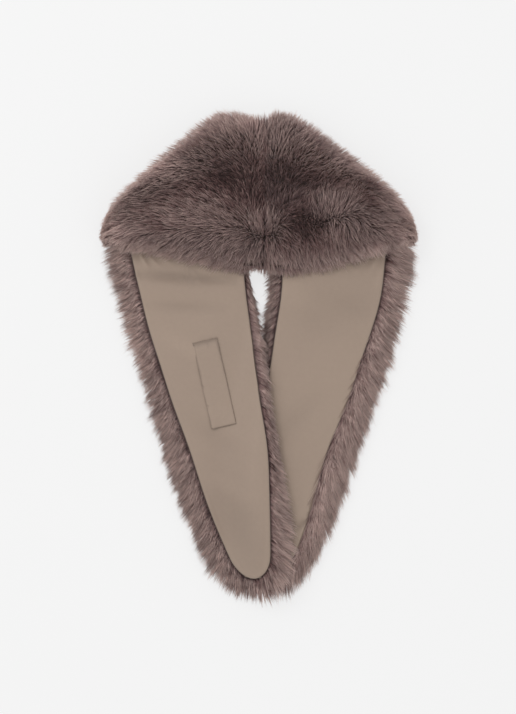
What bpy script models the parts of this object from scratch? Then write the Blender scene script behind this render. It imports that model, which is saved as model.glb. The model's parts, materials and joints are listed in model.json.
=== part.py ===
# Fur collar wrap, laid flat with its neck stretch folded down at both shoulders.
#
# The wrap is one long band, fur on one face and smooth lining on the other. Laid out,
# the neck stretch shows its fur, and both arms come out from under it with the lining
# up and the pile showing all round. The left arm lies over the right one lower down.
#
# Lengths are millimetres in the part's own frame: +X to the right of the laid wrap,
# +Y towards the neck, +Z up from the surface that it lies on.

import math
from collections import namedtuple

import bmesh
import bpy
from mathutils import Vector
from mathutils.bvhtree import BVHTree

MM = 0.001

# Cloth
SEAM_GAP = 0.3
LINING_WALL = 1.2
KEEPER_WALL = 1.2

# Pile under an arm, from the surface up to the backing that the lining covers
ARM_DEPTH = 16.0
ARM_EDGE_DROP = 1.6
PILE_FOOT_INSET = 9.0
PILE_BELLY_HEIGHT = 7.5
PILE_LOW_HEIGHT = 3.2
PILE_LOW_INSET = 2.4
PILE_SHOULDER_SHARE = 0.55
PILE_SHOULDER_HEIGHT = 12.6

# How the left arm climbs over the right one
CROSSING_LIFT = 18.3
CROSSING_LEAD = 20.0
CROSSING_TAIL = 4.0

# How the neck stretch covers the tops of the arms
HEM_OVERLAP = 10.0
HEM_LIP_INSET = 4.0
HEM_LIP_RISE = 2.4
WALL_CLEARANCE = 0.9

# Keeper strap on the left lining
KEEPER_WIDTH = 25.5
KEEPER_LENGTH = 88.5
KEEPER_CENTRE = (-44.5, -27.0)
KEEPER_LEAN_DEG = 12.8
KEEPER_SEAT = 0.15

# Mesh counts
ARM_ROWS = 17
TIP_ROWS = 6
LINING_COLUMNS = 13
NECK_ROWS = 21
KEEPER_COLUMNS = 7
KEEPER_ROWS = 15

# An arm's edges at a distance up the part: pile, lining, lining, pile, outer side first
ArmRow = namedtuple("ArmRow", "y pile_out lining_out lining_in pile_in")

LEFT_ARM = [
    ArmRow(122.0, -156.0, -131.0, -18.0, -13.0),
    ArmRow(106.5, -155.5, -128.4, -16.5, -12.0),
    ArmRow(84.5, -151.0, -124.0, -15.5, -11.4),
    ArmRow(56.5, -143.5, -117.0, -12.5, -4.0),
    ArmRow(26.5, -135.5, -110.0, -8.0, 2.5),
    ArmRow(-3.5, -126.0, -100.0, -4.5, 7.0),
    ArmRow(-43.5, -114.0, -87.5, 1.0, 11.5),
    ArmRow(-93.5, -100.5, -69.0, 8.5, 20.0),
    ArmRow(-143.5, -83.0, -53.0, 10.3, 29.0),
    ArmRow(-183.5, -67.5, -37.0, 11.0, 33.5),
    ArmRow(-199.5, -60.0, -29.5, 11.0, 34.0),
]

RIGHT_ARM = [
    ArmRow(122.0, 156.0, 129.0, 24.5, 12.0),
    ArmRow(106.5, 156.5, 126.5, 24.2, 11.0),
    ArmRow(84.5, 155.0, 125.0, 24.0, 11.0),
    ArmRow(56.5, 149.0, 121.5, 22.0, 8.0),
    ArmRow(26.5, 142.0, 112.5, 17.0, 4.5),
    ArmRow(-3.5, 133.5, 102.0, 12.5, -2.0),
    ArmRow(-43.5, 120.0, 89.5, 6.0, -9.0),
    ArmRow(-93.5, 102.0, 68.5, -1.0, -16.0),
    ArmRow(-143.5, 84.0, 54.5, -2.0, -18.0),
    ArmRow(-173.5, 74.0, 46.0, 0.0, -17.0),
    ArmRow(-188.5, 66.5, 40.0, 2.0, -16.0),
]

# An arm's round tip below its last row: where lining and pile end, and how far down
Tip = namedtuple("Tip", "lining_x lining_depth pile_x pile_depth")
LEFT_TIP = Tip(-5.0, 22.0, 0.0, 47.5)
RIGHT_TIP = Tip(22.0, 20.0, 27.0, 50.0)
TIP_TAPER = 0.7

# The neck stretch from its centre seam out to the shoulder: where the hem and the top
# edge pass, how thick the folded band is between them, and how high the hem's underside
# clears what it covers: the gap at the seam, an arm's lining, then its outer pile
NeckRow = namedtuple("NeckRow", "hem_x hem_y top_x top_y thick ledge")

NECK_LEFT = [
    NeckRow(5.5, 85.0, 5.5, 240.0, 31.0, 12.0),
    NeckRow(-13.0, 86.5, -19.0, 246.7, 35.0, 18.2),
    NeckRow(-37.0, 89.0, -46.0, 243.5, 40.0, 18.2),
    NeckRow(-69.0, 95.0, -75.0, 220.5, 44.0, 18.2),
    NeckRow(-99.0, 101.0, -106.0, 195.5, 45.0, 18.2),
    NeckRow(-124.0, 106.0, -133.0, 169.5, 43.0, 18.2),
    NeckRow(-142.0, 109.4, -149.0, 152.5, 36.0, 17.2),
    NeckRow(-152.0, 111.3, -156.5, 140.5, 28.0, 13.0),
    NeckRow(-157.0, 112.2, -159.2, 131.0, 19.0, 9.0),
]

NECK_RIGHT = [
    NeckRow(5.8, 85.0, 5.8, 240.0, 31.0, 12.0),
    NeckRow(26.0, 85.0, 24.0, 246.7, 35.0, 18.2),
    NeckRow(51.0, 87.0, 47.0, 236.0, 40.0, 18.2),
    NeckRow(81.0, 92.0, 80.0, 212.5, 44.0, 18.2),
    NeckRow(107.0, 99.5, 113.0, 185.5, 45.0, 18.2),
    NeckRow(131.0, 105.5, 136.0, 166.5, 43.0, 18.2),
    NeckRow(145.0, 109.0, 149.0, 150.0, 36.0, 16.6),
    NeckRow(153.0, 111.0, 156.5, 138.0, 28.0, 12.6),
    NeckRow(157.5, 112.2, 159.1, 129.0, 19.0, 9.0),
]

# The neck's upper face from hem to top edge, as shares of the width and the thickness:
# hem, lower roll, cross valley, upper roll, and the turn down to the surface
NeckPoint = namedtuple("NeckPoint", "across height")
NECK_FACE = [
    NeckPoint(0.00, 0.52),
    NeckPoint(0.02, 0.64),
    NeckPoint(0.06, 0.80),
    NeckPoint(0.12, 0.92),
    NeckPoint(0.20, 0.99),
    NeckPoint(0.30, 0.97),
    NeckPoint(0.40, 0.89),
    NeckPoint(0.50, 0.80),
    NeckPoint(0.59, 0.77),
    NeckPoint(0.68, 0.85),
    NeckPoint(0.77, 0.96),
    NeckPoint(0.85, 1.00),
    NeckPoint(0.91, 0.94),
    NeckPoint(0.955, 0.80),
    NeckPoint(0.985, 0.60),
    NeckPoint(1.00, 0.38),
    NeckPoint(0.985, 0.15),
    NeckPoint(0.94, 0.00),
]

# Soft swells and hollows of the laid neck stretch
Swell = namedtuple("Swell", "x y reach_x reach_y rise")
NECK_SWELLS = [
    Swell(76.0, 147.0, 24.0, 13.0, 4.5),
    Swell(40.0, 133.0, 22.0, 14.0, -4.0),
    Swell(-95.0, 128.0, 34.0, 14.0, 2.5),
    Swell(-20.0, 228.0, 18.0, 10.0, 2.5),
    Swell(-60.0, 178.0, 24.0, 8.0, -2.0),
    Swell(5.6, 165.0, 6.0, 90.0, -3.0),
]

# The corner beyond a neck half's last row: how far out, and the share that is left
CornerRow = namedtuple("CornerRow", "out share")
NECK_CORNER = [
    CornerRow(0.6, 0.75),
    CornerRow(0.9, 0.40),
]

# Finishes
FUR_COLOUR = (0.135, 0.098, 0.090, 1.0)
LINING_COLOUR = (0.325, 0.250, 0.200, 1.0)
FUR_ROUGHNESS = 0.85
LINING_ROUGHNESS = 0.55


def lerp(a, b, share):
    return a + (b - a) * share


def smoothstep(t):
    t = min(1.0, max(0.0, t))
    return t * t * (3.0 - 2.0 * t)


def table_curve(keys, values, at):
    """Smooth curve through a table, by Hermite pieces with averaged slopes."""
    if keys[0] > keys[-1]:
        keys, values = keys[::-1], values[::-1]
    last = len(keys) - 1
    k = 0
    while k < last - 1 and at > keys[k + 1]:
        k += 1

    def slope(n):
        low, high = max(n - 1, 0), min(n + 1, last)
        return (values[high] - values[low]) / (keys[high] - keys[low])

    span = keys[k + 1] - keys[k]
    t = (at - keys[k]) / span
    t2, t3 = t * t, t * t * t
    return ((2 * t3 - 3 * t2 + 1) * values[k] + (t3 - 2 * t2 + t) * span * slope(k)
            + (3 * t2 - 2 * t3) * values[k + 1] + (t3 - t2) * span * slope(k + 1))


def arm_edge(rows, column, y):
    """X of one of an arm's edges at height y up the part."""
    return table_curve([row.y for row in rows], [getattr(row, column) for row in rows], y)


def hem_y(x):
    """Y of the neck's hem at x, on either side of the seam."""
    rows = NECK_LEFT if x < NECK_LEFT[0].hem_x else NECK_RIGHT
    return table_curve([row.hem_x for row in rows], [row.hem_y for row in rows], x)


def crossing_lift(x, y):
    """How far the right arm holds the left arm up at a point: none clear of it."""
    end = RIGHT_ARM[-1]
    if y >= end.y:
        inside = x - arm_edge(RIGHT_ARM, "pile_in", y)
        band = arm_edge(RIGHT_ARM, "lining_in", y) - arm_edge(RIGHT_ARM, "pile_in", y)
    else:
        half = (end.pile_out - end.pile_in) / 2
        centre = (end.pile_out + end.pile_in) / 2
        inside = half * (1 - math.hypot((x - centre) / half, (y - end.y) / RIGHT_TIP.pile_depth))
        band = end.lining_in - end.pile_in
    return CROSSING_LIFT * smoothstep((inside + CROSSING_LEAD) / (CROSSING_LEAD + band + CROSSING_TAIL))


def no_lift(x, y):
    return 0.0


def tip_point(rows, tip, column, turn):
    """A point round an arm's tip: its edge runs on, tapering, and closes in."""
    last, end = rows[-2], rows[-1]
    pile = column.startswith("pile")
    tip_x, depth = (tip.pile_x, tip.pile_depth) if pile else (tip.lining_x, tip.lining_depth)
    down = depth * math.sin(turn)
    slope = (getattr(end, column) - getattr(last, column)) / (last.y - end.y)
    edge = getattr(end, column) + TIP_TAPER * slope * down
    return (lerp(tip_x, edge, math.cos(turn)), end.y - down)


def arm_sides(rows, tip):
    """Pairs of pile and lining points down an arm: outer pile, outer lining, inner
    lining, inner pile, each (x, y), from the top row round to the tip."""
    top_y, end = hem_y((rows[1].lining_out + rows[1].lining_in) / 2) + HEM_OVERLAP, rows[-1]
    sides = []
    for k in range(ARM_ROWS):
        share = k / (ARM_ROWS - 1)
        flat_y = lerp(top_y, end.y, share)
        fade = max(0.0, 1.0 - 3.0 * share)
        row = []
        for column in ("pile_out", "lining_out", "lining_in", "pile_in"):
            x = arm_edge(rows, column, flat_y)
            y = flat_y + fade * (hem_y(x) + HEM_OVERLAP - WALL_CLEARANCE - top_y)
            row.append((arm_edge(rows, column, y), y))
        sides.append(row)
    for k in range(ARM_ROWS, ARM_ROWS + TIP_ROWS):
        sides.append([tip_point(rows, tip, column, tip_turn(k))
                      for column in ("pile_out", "lining_out", "lining_in", "pile_in")])
    return sides


def between(a, b, share):
    return (lerp(a[0], b[0], share), lerp(a[1], b[1], share))


def moved_in(edge, inner, inset):
    """The point an inset in from an edge, towards a point further in."""
    span = math.dist(edge, inner)
    return between(edge, inner, inset / span)


def on_row(rows, k, a, b, share):
    """A point across an arm's row; the top rows follow the hem's curve."""
    x, y = between(a, b, share)
    fade = max(0.0, 1.0 - 3.0 * k / (ARM_ROWS - 1))
    chord = lerp(hem_y(a[0]), hem_y(b[0]), share)
    return (x, y + fade * (hem_y(x) - chord))


def tip_turn(k):
    """How far round the tip a row lies: none on the rows above it."""
    return math.radians(90.0) * max(0, k - ARM_ROWS + 1) / TIP_ROWS


def crown(share, turn):
    """Height of the backing across an arm: level in the middle, eased at the edges."""
    rim = math.hypot((2 * share - 1) * math.cos(turn), math.sin(turn))
    return ARM_DEPTH - ARM_EDGE_DROP * rim ** 5


def across_shares():
    """Shares across the lining, closer together near its edges."""
    steps = range(LINING_COLUMNS)
    return [0.5 - 0.5 * math.copysign(abs(math.cos(math.pi * k / (LINING_COLUMNS - 1))) ** 0.8,
                                      math.cos(math.pi * k / (LINING_COLUMNS - 1)))
            for k in steps]


def backing_rows(rows, tip, lift):
    """The top of an arm's fur body under the lining, a row of (x, y, z) each."""
    grid = []
    for k, (_, lining_out, lining_in, _) in enumerate(arm_sides(rows, tip)):
        line = []
        for share in across_shares():
            x, y = on_row(rows, k, lining_out, lining_in, share)
            line.append((x, y, lift(x, y) + crown(share, tip_turn(k))))
        grid.append(line)
    return grid


def pile_flank(pile, lining, lift):
    """The fringe's outline from its foot up to its shoulder beside the lining."""
    foot = moved_in(pile, lining, min(PILE_FOOT_INSET, 0.6 * math.dist(pile, lining)))
    low = moved_in(pile, lining, min(PILE_LOW_INSET, 0.25 * math.dist(pile, lining)))
    shoulder = between(pile, lining, PILE_SHOULDER_SHARE)
    flank = [(foot, 0.0), (low, PILE_LOW_HEIGHT), (pile, PILE_BELLY_HEIGHT),
             (shoulder, PILE_SHOULDER_HEIGHT)]
    return [(x, y, lift(x, y) + height) for (x, y), height in flank]


def arm_rings(rows, tip, lift):
    """Closed sections down an arm: over the top from foot to foot, then back under."""
    rings = []
    for k, (sides, backing) in enumerate(zip(arm_sides(rows, tip), backing_rows(rows, tip, lift))):
        pile_out, lining_out, lining_in, pile_in = sides
        outer = pile_flank(pile_out, lining_out, lift)
        inner = pile_flank(pile_in, lining_in, lift)[::-1]
        over = outer + backing + inner
        under = []
        for n in range(1, len(over) - 1):
            share = n / (len(over) - 1)
            x, y = on_row(rows, k, over[0][:2], over[-1][:2], share)
            under.append((x, y, lift(x, y)))
        rings.append((over, under[::-1]))
    return rings


def swell_at(x, y):
    return sum(s.rise * math.exp(-((x - s.x) / s.reach_x) ** 2 - ((y - s.y) / s.reach_y) ** 2)
               for s in NECK_SWELLS)


def neck_section(row):
    """One section of the folded neck: the face from hem to top edge, then the flat
    underside back to the step that covers an arm's top."""
    hem, top = Vector((row.hem_x, row.hem_y)), Vector((row.top_x, row.top_y))
    run = top - hem
    inward = run.normalized()
    ring = []
    for point in NECK_FACE:
        spot = hem + run * point.across
        z = point.height * row.thick
        on_face = smoothstep(4 * min(point.across, 1 - point.across)) if z > 0 else 0.0
        z += on_face * swell_at(spot.x, spot.y)
        if point.across < 0.5:
            z = max(z, row.ledge + HEM_LIP_RISE + point.across * 40)
        ring.append((spot.x, spot.y, z))
    foot = hem + run * NECK_FACE[-1].across
    step = hem + inward * HEM_OVERLAP
    lip = hem + inward * HEM_LIP_INSET
    for share in (0.25, 0.5, 0.75):
        spot = foot.lerp(step, share)
        ring.append((spot.x, spot.y, 0.0))
    ring.append((step.x, step.y, 0.0))
    ring.append((step.x, step.y, row.ledge))
    ring.append((lip.x, lip.y, row.ledge))
    return ring


def neck_rings(rows, side):
    """Sections from the seam to the shoulder, then the rounded corner."""
    positions = list(range(len(rows)))
    rings = []
    for k in range(NECK_ROWS):
        at = k / (NECK_ROWS - 1) * positions[-1]
        values = [table_curve(positions, [row[c] for row in rows], at)
                  for c in range(len(NeckRow._fields))]
        row = NeckRow(*values)
        rings.append(neck_section(row._replace(hem_y=hem_y(row.hem_x))))
    last = rings[-1]
    hub = [sum(point[axis] for point in last) / len(last) for axis in range(3)]
    for corner in NECK_CORNER:
        ring = []
        for x, y, z in last:
            low = z if z < 0.01 else lerp(hub[2], z, corner.share)
            ring.append((lerp(hub[0], x, corner.share) + side * corner.out,
                         lerp(hub[1], y, corner.share), low))
        rings.append(ring)
    return rings


def finish_mesh(name, bm):
    """Weld, turn the faces outwards and make the object of a closed piece."""
    bmesh.ops.remove_doubles(bm, verts=bm.verts, dist=0.00005)
    bmesh.ops.dissolve_degenerate(bm, edges=bm.edges, dist=0.00001)
    bmesh.ops.recalc_face_normals(bm, faces=bm.faces)
    mesh = bpy.data.meshes.new(name)
    bm.to_mesh(mesh)
    bm.free()
    mesh.shade_smooth()
    mesh.set_sharp_from_angle(angle=math.radians(50.0))
    return bpy.data.objects.new(name, mesh)


def skin(bm, rings, closed):
    """Triangle pairs between neighbouring rows of points; returns the rows of vertices.
    Pieces that share their points share the diagonals too, so they stay parallel."""
    lines = [[bm.verts.new(Vector(point) * MM) for point in ring] for ring in rings]
    for upper, lower in zip(lines, lines[1:]):
        count = len(upper)
        for n in range(count if closed else count - 1):
            m = (n + 1) % count
            bm.faces.new((upper[n], upper[m], lower[m]))
            bm.faces.new((upper[n], lower[m], lower[n]))
    return lines


def fur_arm(name, rows, tip, lift):
    bm = bmesh.new()
    sections = arm_rings(rows, tip, lift)
    lines = skin(bm, [over + under for over, under in sections], closed=True)
    over = lines[0][:len(sections[0][0])]
    under = [over[0]] + lines[0][len(over):][::-1] + [over[-1]]
    for n in range(len(over) - 1):
        corners = [over[n + 1], over[n], under[n], under[n + 1]]
        bm.faces.new(list(dict.fromkeys(corners)))
    return finish_mesh(name, bm)


def fur_neck(name, rows, side):
    bm = bmesh.new()
    lines = skin(bm, neck_rings(rows, side), closed=True)
    bm.faces.new(lines[0])
    bm.faces.new(lines[-1][::-1])
    return finish_mesh(name, bm)


def cloth_sheet(name, grid, wall):
    """A sheet laid the seam gap above the points that carry it, with its wall above."""
    bm = bmesh.new()
    skin(bm, [[(x, y, z + SEAM_GAP) for x, y, z in line] for line in grid], closed=False)
    sheet = finish_mesh(name, bm)
    if sum(face.normal.z for face in sheet.data.polygons) < 0:
        sheet.data.flip_normals()
    solid = sheet.modifiers.new("Wall", "SOLIDIFY")
    solid.thickness = wall * MM
    solid.offset = 1.0
    solid.use_even_offset = True
    return sheet


def keeper_strap(name, lining):
    """The strap, seated on the upper face of the lining that it is stitched to."""
    face = BVHTree.FromObject(lining, bpy.context.evaluated_depsgraph_get())
    above = Vector((0.0, 0.0, 1.0))
    lean = math.radians(KEEPER_LEAN_DEG)
    along, across = Vector((math.sin(lean), -math.cos(lean))), Vector((math.cos(lean), math.sin(lean)))
    centre = Vector(KEEPER_CENTRE)
    grid = []
    for r in range(KEEPER_ROWS):
        line = []
        for c in range(KEEPER_COLUMNS):
            spot = (centre + along * KEEPER_LENGTH * (r / (KEEPER_ROWS - 1) - 0.5)
                    + across * KEEPER_WIDTH * (c / (KEEPER_COLUMNS - 1) - 0.5))
            carried = face.ray_cast(spot.to_3d() * MM + above, -above)[0]
            line.append((spot.x, spot.y, carried.z / MM + KEEPER_SEAT))
        grid.append(line)
    return cloth_sheet(name, grid, KEEPER_WALL)


def finish(name, colour, roughness):
    material = bpy.data.materials.new(name)
    material.use_nodes = True
    shader = material.node_tree.nodes["Principled BSDF"]
    shader.inputs["Base Color"].default_value = colour
    shader.inputs["Roughness"].default_value = roughness
    shader.inputs["Metallic"].default_value = 0.0
    return material


def clear_scene():
    for thing in list(bpy.data.objects):
        bpy.data.objects.remove(thing, do_unlink=True)


def build():
    clear_scene()
    wrap = bpy.data.collections.new("fur_collar_wrap")
    bpy.context.scene.collection.children.link(wrap)

    fur = [
        fur_neck("fur_neck_left", NECK_LEFT, -1),
        fur_neck("fur_neck_right", NECK_RIGHT, 1),
        fur_arm("fur_arm_left", LEFT_ARM, LEFT_TIP, crossing_lift),
        fur_arm("fur_arm_right", RIGHT_ARM, RIGHT_TIP, no_lift),
    ]
    lining = [
        cloth_sheet("lining_left", backing_rows(LEFT_ARM, LEFT_TIP, crossing_lift), LINING_WALL),
        cloth_sheet("lining_right", backing_rows(RIGHT_ARM, RIGHT_TIP, no_lift), LINING_WALL),
    ]
    for piece in fur + lining:
        wrap.objects.link(piece)
    keeper = keeper_strap("keeper_strap", lining[0])
    wrap.objects.link(keeper)
    for piece in fur:
        piece.data.materials.append(finish(piece.name, FUR_COLOUR, FUR_ROUGHNESS))
    for piece in lining + [keeper]:
        piece.data.materials.append(finish(piece.name, LINING_COLOUR, LINING_ROUGHNESS))


build()
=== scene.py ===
# Looks of the fur collar wrap: long soft pile over the neck stretch and round both arms,
# the smooth twill lining and its keeper strap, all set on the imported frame's solids.
#
# The wrap lies flat and is seen from straight above. Lengths are millimetres, and MM turns
# them into the frame's metres.

import json
import math
from collections import namedtuple

import bmesh
import bpy
import numpy as np
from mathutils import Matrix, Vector, noise
from mathutils.bvhtree import BVHTree
from mathutils.kdtree import KDTree

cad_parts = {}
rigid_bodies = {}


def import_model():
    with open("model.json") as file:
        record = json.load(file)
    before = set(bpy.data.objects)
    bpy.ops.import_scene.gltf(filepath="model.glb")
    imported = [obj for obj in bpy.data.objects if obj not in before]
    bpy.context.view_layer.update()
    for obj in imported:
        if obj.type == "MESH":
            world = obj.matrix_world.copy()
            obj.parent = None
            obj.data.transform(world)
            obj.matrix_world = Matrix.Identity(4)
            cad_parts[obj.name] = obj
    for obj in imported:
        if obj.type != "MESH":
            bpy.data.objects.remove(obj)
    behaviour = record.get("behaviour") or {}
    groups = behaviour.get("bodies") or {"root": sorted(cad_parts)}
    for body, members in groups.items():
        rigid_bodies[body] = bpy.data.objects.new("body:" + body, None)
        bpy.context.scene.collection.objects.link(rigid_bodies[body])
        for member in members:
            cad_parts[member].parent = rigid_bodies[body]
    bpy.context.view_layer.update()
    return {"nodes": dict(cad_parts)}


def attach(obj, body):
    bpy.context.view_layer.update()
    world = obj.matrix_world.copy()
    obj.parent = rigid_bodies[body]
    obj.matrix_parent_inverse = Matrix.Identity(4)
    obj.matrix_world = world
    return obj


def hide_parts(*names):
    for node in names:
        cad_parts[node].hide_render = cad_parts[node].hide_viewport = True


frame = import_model()

MM = 0.001
UP = Vector((0.0, 0.0, 1.0))
MIDDLE = 0.5

# In metres: a height above everything, and what is too small to count
HIGH_ABOVE = 1.0
WELD = 0.00001
TINY = 1e-9
TINY_AREA = 1e-12

# The photograph: its size, and the place of the frame's origin in it, a millimetre a pixel
PHOTO_WIDE, PHOTO_HIGH = 516, 714
ORIGIN_ACROSS, ORIGIN_DOWN = 259.0, 356.5

# Camera: its height and the height at which a millimetre is one pixel, both in metres
CAMERA_HEIGHT = 4.0
TRUE_SIZE_HEIGHT = 0.018
CAMERA_SEES_TO = 20.0
CAMERA_SENSOR = 36.0

# Studio, in metres and watts: the paper floor, the light round it and one soft lamp
FLOOR_WIDE = 8.0
FLOOR_BELOW = 0.0004
FLOOR_SURFACE = {
    "Base Color": (0.20, 0.20, 0.20, 1.0), "Roughness": 1.0, "Specular IOR Level": 0.0,
    "Emission Color": (1.0, 1.0, 1.0, 1.0), "Emission Strength": 0.70,
}
LIGHT_ALL_ROUND = {"Color": (1.0, 1.0, 1.0, 1.0), "Strength": 0.90}
LAMP_PLACE = (-1.0, 1.2, 1.6)
LAMP_SIZE = 0.8
LAMP_POWER = 11.0

# Fur bodies: a node's smoothed solid is the envelope of its hair, with the backing inside
BODY_LEVELS = 2
CREASE_DEG = 50.0
PAIR_FACE_DEG = 40.0
BODY_PAIR_SHAPE_DEG = 80.0
SPREAD_MOST = 4.0

# Faces that carry no hair: the underside, and those this near to a neighbour
UNDERSIDE_TOP = 1.0
UNDERSIDE_FACING = -0.5
NEIGHBOUR_REACH = 3.0
RAY_LIFT = 0.02
SEAM_FACING = 0.9

# Neck backing: how deep it is under the sides and the top, in all and as a share at most
NECK_PILE_SIDE = 14.0
NECK_PILE_TOP = 9.0
PILE_SHARE_OF_BODY = 0.42
RAY_DEPTH = 0.2
INSET_ROUNDS = 4

# Neck envelope: sides drawn in by what loose hair adds to them, and crests rounded
RIM_IN = 3.0
CREST_ROUNDS = 8
NECK_MIDDLE = (0.0, 165.0, 0.0)

# Centre seam between the neck halves
SEAM_X = 5.65
SEAM_CLEAR = 2.0
SEAM_BAND = 8.0
SEAM_LOOSER = 1.5

# Shoulder corners of the neck, from this far out
CORNER_FROM = 138.0
CORNER_RUN = 12.0
CORNER_IN = 0.2
CORNER_BACK = 4.5
CORNER_LOWER = 5.0
CORNER_TOP_FACING = 0.2
CORNER_SHORTER = 0.35
CORNER_FIRMER = 0.65
CORNER_FULLER = 1.0

# Hair laid along the neck: its run where the fur's painted light is and where its painted
# shade is, and how the guides blend; a parting is where they disagree
NECK_COMB = 16.0
NECK_COMB_SHORT = 8.0
LIGHT_LONGER = 1.4
GUIDE_BLEND = 2.0
GUIDE_FALLOFF = 3.0
AGREED_AT = 0.9
PARTING_FULLER = 1.5
RIM_LIFT = 0.5
RIM_LOOSER = 0.8

# Hem, where the neck's hair comes down on the arms
HEM_REACH = 14.0
HEM_LOOSER = 1.4
HEM_FULLER = 0.6

# Arm backing: the share of the way in to the lining's edge, and the top under the lining
ARM_PILE_SHARE = 0.85
ARM_PILE_MOST = 22.0
ARM_SHORTEST = 2.5
ARM_TOP_ABOVE = 8.0
UNDER_LINING = 3.0
FRINGE_FACING = -0.8

# Fringe of each arm: its run down the outer side, high up and low down, and down the inner
# side; how far it stands out at the tip, and how far it folds back over the lining
Arm = namedtuple("Arm", "high low inner tip_beyond over_edge")
ARMS = {
    "fur_arm_left": Arm(4.0, 9.0, 9.0, 3.0, 0.0),
    "fur_arm_right": Arm(6.0, 20.0, 7.0, 9.0, 16.0),
}
ARM_COMB_TIP = 5.0
ARM_SWEEP_FROM = 70.0
ARM_SWEEP_RUN = 220.0
ARM_EDGE_BAND = 12.0
ARM_OVER_RUN = 80.0

# How far the fringe stands out elsewhere, and how much looser it is there
ARM_INNER_BEYOND = 4.0
ARM_TOP_BEYOND = 3.0
ARM_INNER_LOOSER = 1.8
ARM_END_LOOSER = 1.5
ARM_TOP_LOOSE_SHARE = 0.4

# How the hair lies on the neck: x, y, and its way in degrees anticlockwise from the right
GUIDES = {
    "fur_neck_left": [
        # down the centre seam
        (3, 235, 86), (3, 212, 86), (3, 190, 84), (3, 168, 80), (3, 148, 84),
        (3, 128, 105), (3, 112, 250), (3, 98, 266), (3, 88, 268),
        # along the upper rim to the shoulder
        (-6, 231, 118), (-24, 216, 132), (-54, 206, 150), (-89, 186, 160),
        (-124, 161, 170), (-149, 136, 182),
        # over the middle
        (-29, 178, 160), (-69, 171, 172), (-109, 156, 180), (-10, 190, 125),
        (-12, 160, 135), (-16, 140, 145), (-59, 151, 150), (-89, 141, 165),
        (-34, 140, 148), (-64, 132, 190), (-99, 130, 195),
        # down over the hem
        (-14, 118, 210), (-69, 116, 228), (-99, 118, 222), (-34, 106, 238), (-12, 98, 255),
        # round the shoulder corner
        (-139, 116, 228), (-153, 128, 212), (-150, 113, 232), (-158, 118, 226), (-130, 108, 240),
    ],
    "fur_neck_right": [
        # down the centre seam
        (8, 235, 96), (8, 212, 96), (8, 190, 98), (8, 168, 98), (8, 148, 92),
        (8, 128, 70), (8, 112, 285), (8, 98, 274), (8, 88, 272),
        # along the upper rim to the shoulder
        (18, 231, 72), (36, 221, 50), (66, 201, 35), (96, 184, 25),
        (132, 158, 5), (149, 136, 356),
        # over the middle
        (41, 176, 22), (81, 172, 25), (120, 148, 338), (20, 166, 46), (22, 141, 40),
        (20, 190, 55), (106, 166, 45),
        # fanned out from the puff above the hem
        (60, 150, 105), (80, 130, 280), (80, 154, 80), (102, 136, 285), (92, 162, 62),
        # down over the hem
        (24, 120, 320), (28, 98, 283), (51, 101, 292), (81, 111, 300), (111, 112, 300),
        (40, 125, 300),
        # round the shoulder corner
        (139, 116, 312), (153, 128, 326), (150, 113, 294), (158, 118, 300), (130, 108, 300),
    ],
}

# Painted light and shade on the fur: darker stretches where it lies in shade, lighter where
# light falls on it; x, y, reach across, reach down, and how much lighter
LIGHT_AND_SHADE_PATCHES = [
    # dark across the middle, with the hollow beside the puff
    (6, 181, 65, 24, -0.26), (-29, 178, 20, 14, -0.22), (26, 178, 24, 16, -0.12),
    (6, 158, 42, 13, -0.22), (3, 150, 28, 12, -0.20), (42, 132, 21, 17, -0.45),
    # shadows above the rolls of both halves, and at the right shoulder
    (-58, 168, 34, 8, -0.20), (-89, 154, 24, 12, -0.15), (-102, 136, 18, 8, -0.25),
    (75, 172, 45, 10, -0.22), (106, 156, 24, 14, -0.08), (107, 165, 6, 8, -0.20),
    (131, 104, 9, 18, -0.35), (66, 106, 34, 10, -0.08),
    # light rims, from the lobes out to both shoulders
    (-19, 226, 22, 10, 0.25), (-37, 219, 20, 12, 0.12), (-84, 186, 26, 11, 0.32),
    (-118, 176, 30, 12, 0.20), (-146, 134, 16, 22, 0.26), (18, 206, 14, 10, 0.22),
    (43, 219, 20, 12, 0.08), (110, 186, 40, 10, 0.25), (140, 136, 20, 24, 0.28),
    # the puff, and the roll of the left half
    (76, 147, 20, 13, 0.25), (-54, 124, 34, 13, 0.15),
    # the fringes
    (-128, 30, 14, 60, 0.18), (-61, -158, 12, 30, -0.10), (66, -155, 18, 30, 0.07),
    (-5, -232, 40, 12, -0.13),
]
# Painted light along the fur's outer edges, and the arms' fur darker all over
EDGE_PAINTED_LIGHT = 0.30
ARM_DARKER = 0.10

# Cloth shells: rounds of smoothing, wall, and how far in from the edge it rolls down
Cloth = namedtuple("Cloth", "levels wall roll")
CLOTHS = {
    "lining_left": Cloth(3, 1.0, 2.2),
    "lining_right": Cloth(2, 1.0, 2.2),
    "keeper_strap": Cloth(2, 0.8, 0.9),
}
FRINGE_EDGE_LEVELS = 2
SHEET_FACING = 0.35
SHEET_PAIR_SHAPE_DEG = 120.0
ROLL_SHARE = 0.6
SETTLE_REACH = 6.0
RIPPLE_SCALE = 22.0
RIPPLE_HIGH = 0.5
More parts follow.
